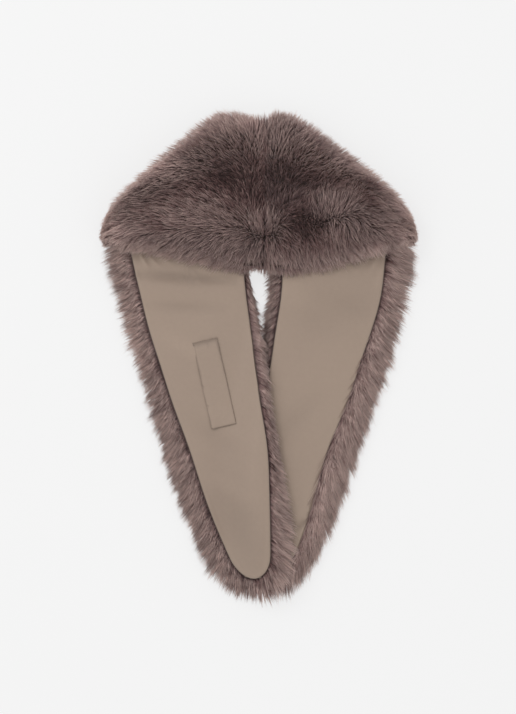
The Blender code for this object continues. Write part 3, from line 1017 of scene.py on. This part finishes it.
def arm_combing(node, places, inset):
    """How the hair is swept down along the arm's edges, more so towards its tip, and how
    much looser it is on the inner side and at the ends."""
    lengths = np.linalg.norm(inset[:, :2], axis=1)
    outward = -inset * [1.0, 1.0, 0.0] / np.maximum(lengths, TINY)[:, None]
    side = 1.0 if node.endswith("right") else -1.0
    outer = np.clip(outward[:, 0] * side, 0.0, 1.0)
    inner = np.clip(-outward[:, 0] * side, 0.0, 1.0)
    below_start = ARM_SWEEP_FROM - places[:, 1] / MM
    low = smoothstep(below_start / ARM_SWEEP_RUN)
    at_top = outer * (1.0 - low) ** 2
    at_tip = np.clip(-outward[:, 1], 0.0, 1.0) ** 2

    arm = ARMS[node]
    reach = (arm.high + (arm.low - arm.high) * low) * outer + arm.inner * inner
    reach += ARM_COMB_TIP * at_tip
    down = np.tile([0.0, -1.0, 0.0], (len(inset), 1))
    swept = laid_on(outward, down, np.ones(len(inset))) * reach[:, None]

    at_edge = np.clip(1.0 - lengths / (ARM_EDGE_BAND * MM), 0.0, 1.0) * outer
    at_edge *= smoothstep(below_start / ARM_OVER_RUN)
    beyond = ARM_INNER_BEYOND * inner + ARM_TOP_BEYOND * at_top + arm.tip_beyond * at_tip
    beyond -= arm.over_edge * at_edge
    looser = ARM_INNER_LOOSER * inner + ARM_END_LOOSER * (ARM_TOP_LOOSE_SHARE * at_top + at_tip)
    return (swept + outward * beyond[:, None]) * MM, looser


def arm_pile(node, mesh, bare):
    """The fields of an arm's fringe: its insets, combing, cover and looseness."""
    normals, _, haired = haired_normals(mesh, bare)
    inset = arm_insets(mesh, FURS[node].lining)
    comb, looser = arm_combing(node, points_of(mesh), inset)
    fringe = np.linalg.norm(inset[:, :2], axis=1) > ARM_SHORTEST * MM
    cover = haired * fringe * (normals[:, 2] > FRINGE_FACING)
    return inset, comb, cover, 1.0 + looser


def fur_body(node, material):
    """The backing of a fur piece, with the fields that its hair follows."""
    body = smooth_body(node, node.replace("fur", "fur_body"))
    mesh = body.data
    others = rays_into([solid.data for name, solid in frame["nodes"].items() if name != node])
    is_arm = FURS[node].lining is not None
    pile = arm_pile if is_arm else neck_pile
    inset, comb, cover, loose = pile(node, mesh, bare_faces(mesh, others))
    envelope = points_of(mesh)
    at_edge = smoothstep(np.linalg.norm(inset[:, :2], axis=1) / (NECK_PILE_SIDE * MM))
    # Painted light and shade: the patches, painted light along the edges, and the arms darker all
    # over
    tone = painted_light_and_shade_at(envelope) + EDGE_PAINTED_LIGHT * at_edge - ARM_DARKER * is_arm
    move_points(mesh, envelope + inset)
    for name, values in zip(BODY_FIELDS, (-inset, comb, cover, loose, tone)):
        write_field(mesh, name, values)
    clothe(body, material)
    return body


# Lining and keeper: thin shells on the upper faces of their solids


def upper_sheet(node, levels):
    """The upper face of a flat solid, smoothed, as an open sheet."""
    bm = welded(node)
    bm.normal_update()
    below = [face for face in bm.faces if face.normal.z < SHEET_FACING]
    bmesh.ops.delete(bm, geom=below, context="FACES")
    pair_triangles(bm, SHEET_PAIR_SHAPE_DEG)
    return subdivided(mesh_from(bm, node + "_sheet"), node + "_open", levels, "PRESERVE_CORNERS")


def outline_of(mesh):
    """Points of an open sheet's edge."""
    bm = bmesh.new()
    bm.from_mesh(mesh)
    edge = [vertex.co.copy() for vertex in bm.verts if vertex.is_boundary]
    bm.free()
    return edge


def crease_rise(place, creases):
    """Height that the listed creases add at a point, in metres."""
    total = 0.0
    spot = Vector((place[0] / MM, place[1] / MM))
    for start, end, width, rise in creases:
        run = Vector(end) - Vector(start)
        share = (spot - Vector(start)).dot(run) / run.length_squared
        held = min(1.0, max(0.0, share))
        apart = (spot - (Vector(start) + run * held)).length
        fade = CREASE_END_SHARE + (1.0 - CREASE_END_SHARE) * math.sin(math.pi * held)
        total += rise * fade * math.exp(-(apart / width) ** 2)
    return total * MM


def cloth_shell(node, material):
    """A closed thin shell of cloth, creased as it lies, with its edges turned down."""
    cloth, creases = CLOTHS[node], CREASES.get(node, [])
    sheet = upper_sheet(node, cloth.levels)
    mesh = sheet.data
    places = points_of(mesh)
    nearest_edge = seen_from_above(outline_of(mesh))
    insides = np.array([nearest_edge(place)[2] for place in places]) / MM
    rises = np.array([crease_rise(place, creases) for place in places])
    # Painted shade: darker down in the creases, lighter on ridges, and a dark line along the edge
    painted_crease_shades = np.clip(-rises / (FOLD_DEEP * MM), -RIDGE_MOST, 1.0)
    write_field(mesh, "fold", painted_crease_shades + EDGE_SHADE_PAINTED * np.exp(-insides / PAINTED_EDGE_SHADE_REACH))
    for place, inside, rise in zip(places, insides, rises):
        dip = max(0.0, cloth.roll - inside)
        turned = cloth.roll - math.sqrt(max(0.0, cloth.roll * cloth.roll - dip * dip))
        settle = smoothstep(inside / SETTLE_REACH)
        ripple = noise.noise(Vector(place) * RIPPLE_SCALE) * RIPPLE_HIGH * MM * settle
        place[2] += rise * settle + ripple - turned * ROLL_SHARE * MM
    move_points(mesh, places)
    solid = sheet.modifiers.new("Wall", "SOLIDIFY")
    solid.thickness = cloth.wall * MM
    solid.offset = -1.0
    shell = settled(sheet, node + "_cloth")
    bpy.data.objects.remove(sheet)
    clothe(shell, material)
    return shell


# Finishes


def new_finish(name, surface):
    """A material, its graph, and its shader with the values that are the same all over."""
    material = bpy.data.materials.new(name)
    material.use_nodes = True
    graph = Graph(material.node_tree)
    shader = material.node_tree.nodes["Principled BSDF"]
    graph.fill(shader, surface)
    return material, graph, shader


def pile_finish():
    material, graph, shader = new_finish("fur_pile", PILE_SURFACE)
    along, shade = graph.painted("along"), graph.painted("shade")
    stops = [(0.0, PILE_ROOT), (PILE_MIDDLE_AT, PILE_MIDDLE), (1.0, PILE_TIP)]
    colour = graph.add("ShaderNodeValToRGB", {"stops": stops}, {"Fac": along})
    # A warmer tint on the darkest hair, most of it in the painted shade
    tint_gone = graph.maths("MINIMUM", shade * DARK_TINT_FADE, 1.0)
    tint = graph.between(DARK_SHADE_TINT, (1.0, 1.0, 1.0), tint_gone)
    colour = colour * tint * varied(shade, SHADE_LEAST, SHADE_GAIN)
    graph.fill(shader, {"Base Color": colour})
    return material


def backing_finish():
    material, graph, shader = new_finish("fur_backing", BACKING_SURFACE)
    place = graph.add("ShaderNodeTexCoord", output="Object")
    grain = graph.add("ShaderNodeTexNoise", None, {"Vector": place, **BACKING_GRAIN})
    colour = graph.add("ShaderNodeValToRGB", {"stops": BACKING_STOPS}, {"Fac": grain})
    bump = graph.add("ShaderNodeBump", None, {"Height": grain, **BACKING_BUMP})
    graph.fill(shader, {"Base Color": colour, "Normal": bump})
    return material


def lining_finish():
    material, graph, shader = new_finish("lining_twill", TWILL_SURFACE)
    place = graph.add("ShaderNodeTexCoord", output="Object")
    x, y, _ = graph.parts(place)
    lean = math.radians(TWILL_LEAN_DEG)
    across = x * math.cos(lean) + y * math.sin(lean)
    turns = across * (2.0 * math.pi / (TWILL_PITCH * MM))
    rib = graph.add("ShaderNodeMath", {"operation": "SINE"}, {0: turns})
    yarn = graph.add("ShaderNodeTexNoise", None, {"Vector": place, **TWILL_YARN})
    cloud = graph.add("ShaderNodeTexNoise", None, {"Vector": place, **TWILL_CLOUD})
    tone = rib * RIB_TONE + yarn * YARN_TONE + cloud * CLOUD_TONE - TONE_LOWER
    colour = graph.add("ShaderNodeValToRGB", {"stops": TWILL_STOPS}, {"Fac": tone})
    # Painted shade of the folds and of the turned edge
    colour = colour * (1.0 - graph.painted("fold") * FOLD_PAINTED_SHADE)
    bump = graph.add("ShaderNodeBump", None, {"Height": rib * RIB_BUMP + yarn, **TWILL_BUMP})
    graph.fill(shader, {"Base Color": colour, "Normal": bump})
    return material


# Studio: floor, light and camera


def add_floor():
    bpy.ops.mesh.primitive_plane_add(size=FLOOR_WIDE, location=(0.0, 0.0, -FLOOR_BELOW))
    floor = bpy.context.object
    floor.name = "floor"
    floor.data.materials.append(new_finish("floor_paper", FLOOR_SURFACE)[0])


def add_light():
    world = bpy.data.worlds.new("studio")
    world.use_nodes = True
    Graph(world.node_tree).fill(world.node_tree.nodes["Background"], LIGHT_ALL_ROUND)
    bpy.context.scene.world = world
    bpy.context.scene.view_settings.view_transform = "Standard"
    light = bpy.data.lights.new("key", "AREA")
    light.size = LAMP_SIZE
    light.energy = LAMP_POWER
    lamp = plain_object("key", light)
    lamp.location = LAMP_PLACE
    lamp.rotation_euler = (-Vector(LAMP_PLACE)).to_track_quat("-Z", "Y").to_euler()


def add_camera():
    camera = bpy.data.cameras.new("camera")
    camera.sensor_width = CAMERA_SENSOR
    camera.lens = CAMERA_SENSOR * (CAMERA_HEIGHT - TRUE_SIZE_HEIGHT) / (PHOTO_HIGH * MM)
    camera.clip_end = CAMERA_SEES_TO
    eye = plain_object("camera", camera)
    eye.location = ((PHOTO_WIDE / 2 - ORIGIN_ACROSS) * MM, (ORIGIN_DOWN - PHOTO_HIGH / 2) * MM,
                    CAMERA_HEIGHT)
    bpy.context.scene.camera = eye


# The wrap


def lay_cloth(twill):
    shells = {}
    for node in CLOTHS:
        shells[node] = cloth_shell(node, twill)
        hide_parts(node)
    return shells


def grow_fur(pile, backing):
    tree = pile_tree()
    envelopes = fur_envelopes()
    for node, fur in FURS.items():
        lower = [frame["nodes"][name].data for name in fur.lies_over]
        ground = plain_object(node + "_ground", meshes_in_one(lower, node + "_ground"))
        body = fur_body(node, backing)
        coats = [grow_pile(body, envelopes[node], ground, tree, node.replace("fur", name),
                           count, coat, pile) for name, (count, coat) in fur.coats.items()]
        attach(body, "root")
        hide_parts(node)
        for coat in coats:
            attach(coat, "root")


def hand_over_cloth(shells):
    for shell in shells.values():
        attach(shell, "root")


def clear_helpers():
    """Takes out the sheets, envelopes and grounds that only the making needed."""
    for thing in list(bpy.data.objects):
        if thing.name.endswith(("_open", "_envelope", "_ground")):
            bpy.data.objects.remove(thing)


add_light()
add_camera()
add_floor()
shells = lay_cloth(lining_finish())
grow_fur(pile_finish(), backing_finish())
hand_over_cloth(shells)
clear_helpers()
